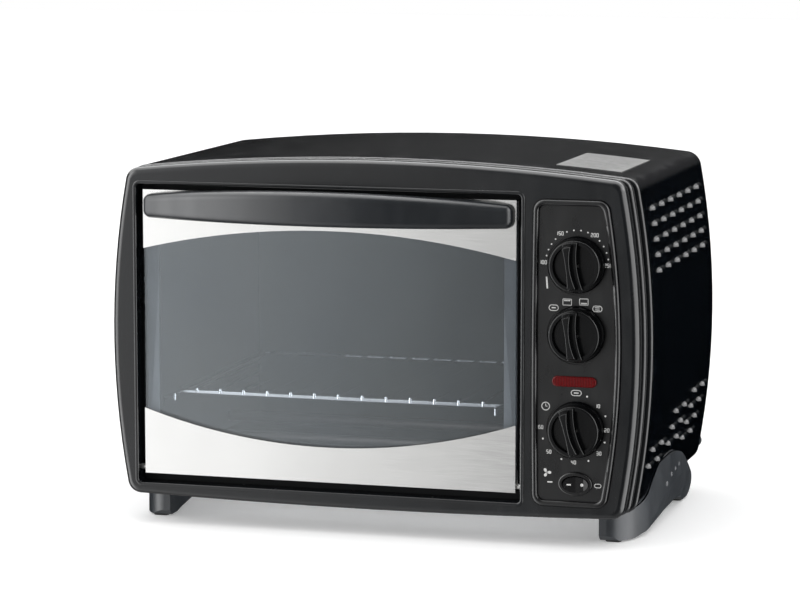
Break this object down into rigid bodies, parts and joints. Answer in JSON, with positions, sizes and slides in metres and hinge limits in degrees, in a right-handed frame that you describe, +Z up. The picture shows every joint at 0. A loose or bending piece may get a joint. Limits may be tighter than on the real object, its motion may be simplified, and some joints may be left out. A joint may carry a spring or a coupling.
{
  "type": "toaster oven",
  "caption": "Countertop toaster oven with a bottom-hinged glass door, pull-out wire rack, rotary controls, rocker switch, fan, louvred sides and rail feet.",
  "frame": {"origin": "centre of the footprint box at the ground, under the middle of the oven", "axes": "+X to the right seen from the front, +Y towards the back, +Z up; the door faces -Y"},
  "size_m": [0.4306, 0.321, 0.291],
  "materials": {
    "black_satin_plastic": "satin moulded, black",
    "panel_plastic": "fine satin, black",
    "knob_plastic": "satin black",
    "handle_plastic": "matt moulded, dark grey-black",
    "foot_plastic": "satin moulded, black",
    "rubber_pad": "matt black",
    "black_enamel": "gloss black paint",
    "rear_paint": "satin black paint",
    "galvanised_sheet": "galvanised sheet",
    "liner_sheet": "dark grey enamelled sheet",
    "stainless_trim": "horizontally brushed stainless steel",
    "tempered_glass": "tempered, smoke tint",
    "chromed_wire": "bright chrome",
    "heater_sheath": "oxidised sheath",
    "insulator_ceramic": "unglazed ceramic",
    "zinc_steel": "zinc plated steel",
    "screw_steel": "plated steel",
    "label_foil": "plain foil",
    "lamp_red": "clear red lens",
    "lamp_glass": "clear glass",
    "control_case": "moulded case",
    "motor_iron": "laminated iron",
    "impeller_metal": "bare aluminium",
    "rocker_plastic": "gloss black"
  },
  "bodies": {
    "chassis": {"cabinet_wrap": "black_enamel", "front_bezel": "black_satin_plastic", "control_panel": "panel_plastic", "rear_panel": "rear_paint", "base_plate": "galvanised_sheet", "right_foot_rail": "foot_plastic", "left_foot_rail": "foot_plastic", "foot_pads": "rubber_pad", "rear_spacers": "foot_plastic", "label_plate": "label_foil", "front_frame": "liner_sheet", "cavity_left_wall": "liner_sheet", "cavity_right_wall": "liner_sheet", "cavity_floor": "liner_sheet", "cavity_ceiling": "liner_sheet", "cavity_rear_wall": "liner_sheet", "rack_rails": "liner_sheet", "lower_heater_rods": "heater_sheath", "upper_heater_rods": "heater_sheath", "heater_insulators": "insulator_ceramic", "thermostat": "control_case", "selector_switch": "control_case", "timer_mechanism": "zinc_steel", "control_bracket": "galvanised_sheet", "control_nuts": "zinc_steel", "pilot_lamp_lens": "lamp_red", "neon_lamp": "lamp_glass", "lamp_clip": "zinc_steel", "rocker_housing": "rocker_plastic", "fan_housing": "galvanised_sheet", "fan_motor": "motor_iron", "heat_shield": "galvanised_sheet", "terminal_block": "control_case", "cord_grommet": "rubber_pad", "hinge_brackets": "zinc_steel", "door_springs": "zinc_steel", "rear_screws": "screw_steel", "base_screws": "screw_steel"},
    "door": {"door_glass": "tempered_glass", "door_top_trim": "stainless_trim", "door_bottom_trim": "stainless_trim", "door_side_channels": "liner_sheet", "door_hinge_pins": "zinc_steel", "door_handle": "handle_plastic", "handle_screws": "screw_steel"},
    "rack": {"wire_rack": "chromed_wire"},
    "temperature_control": {"temperature_knob": "knob_plastic", "temperature_shaft": "zinc_steel"},
    "function_control": {"function_knob": "knob_plastic", "function_shaft": "zinc_steel"},
    "timer_control": {"timer_knob": "knob_plastic", "timer_shaft": "zinc_steel"},
    "rocker": {"rocker_button": "rocker_plastic"},
    "fan": {"fan_impeller": "impeller_metal", "fan_shaft": "zinc_steel"}
  },
  "joints": [
    {"name": "door_hinge", "type": "hinge", "parent": "chassis", "child": "door", "pos_m": [-0.035, -0.1195, 0.044], "axis": [1, 0, 0], "range_deg": [0, 90], "stiffness_Nm_per_rad": 0.3, "springref_deg": -28.65},
    {"name": "rack_slide", "type": "slide", "parent": "chassis", "child": "rack", "axis": [0, -1, 0], "range_m": [0, 0.06]},
    {"name": "temperature_turn", "type": "hinge", "parent": "chassis", "child": "temperature_control", "pos_m": [0.163, -0.1279, 0.217], "axis": [0, 1, 0], "range_deg": [-112, 101]},
    {"name": "function_turn", "type": "hinge", "parent": "chassis", "child": "function_control", "pos_m": [0.163, -0.1279, 0.1643], "axis": [0, 1, 0], "range_deg": [-24, 52]},
    {"name": "timer_turn", "type": "hinge", "parent": "chassis", "child": "timer_control", "pos_m": [0.163, -0.1279, 0.0917], "axis": [0, 1, 0], "range_deg": [0, 278]},
    {"name": "rocker_tilt", "type": "hinge", "parent": "chassis", "child": "rocker", "pos_m": [0.1628, -0.123, 0.0503], "axis": [0, 0, 1], "range_deg": [-12, 0]},
    {"name": "fan_spin", "type": "hinge", "parent": "chassis", "child": "fan", "pos_m": [0.109, 0.0055, 0.152], "axis": [1, 0, 0], "continuous": true}
  ],
  "couplings": [
    {"joint": "rack_slide", "follows": "door_hinge", "m_per_rad": 0.0382}
  ]
}
